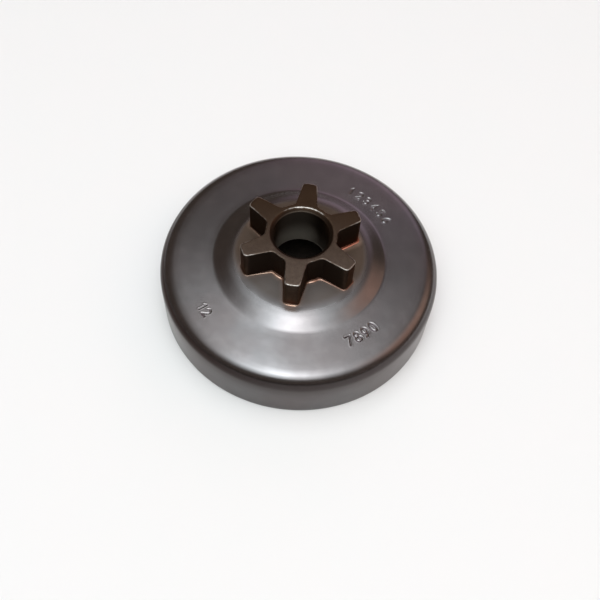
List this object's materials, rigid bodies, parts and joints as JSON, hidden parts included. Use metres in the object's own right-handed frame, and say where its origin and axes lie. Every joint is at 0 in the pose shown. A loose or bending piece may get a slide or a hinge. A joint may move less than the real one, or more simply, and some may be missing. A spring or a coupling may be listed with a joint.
{
  "type": "chainsaw clutch drum",
  "caption": "Clutch drum of a small chainsaw: a pressed steel cup with a raised boss that carries a brazed spur sprocket, bored for a needle bearing.",
  "frame": {"origin": "centre of the open rim's face, on the axis of the bore", "axes": "+Z along the bore's axis from the open rim to the sprocket; one tooth points along -Y; the drum rests on its rim"},
  "size_m": [0.067, 0.067, 0.0243],
  "materials": {
    "drum_steel": "smooth furnace-darkened steel, grey with faint brown and violet tints",
    "sprocket_steel": "dark brown hardened steel, bright on its edges",
    "braze_copper": "once-melted copper, glossy, darkened in patches"
  },
  "bodies": {
    "root": {"drum_cup": "drum_steel", "chain_sprocket": "sprocket_steel", "copper_braze": "braze_copper"}
  },
  "joints": []
}
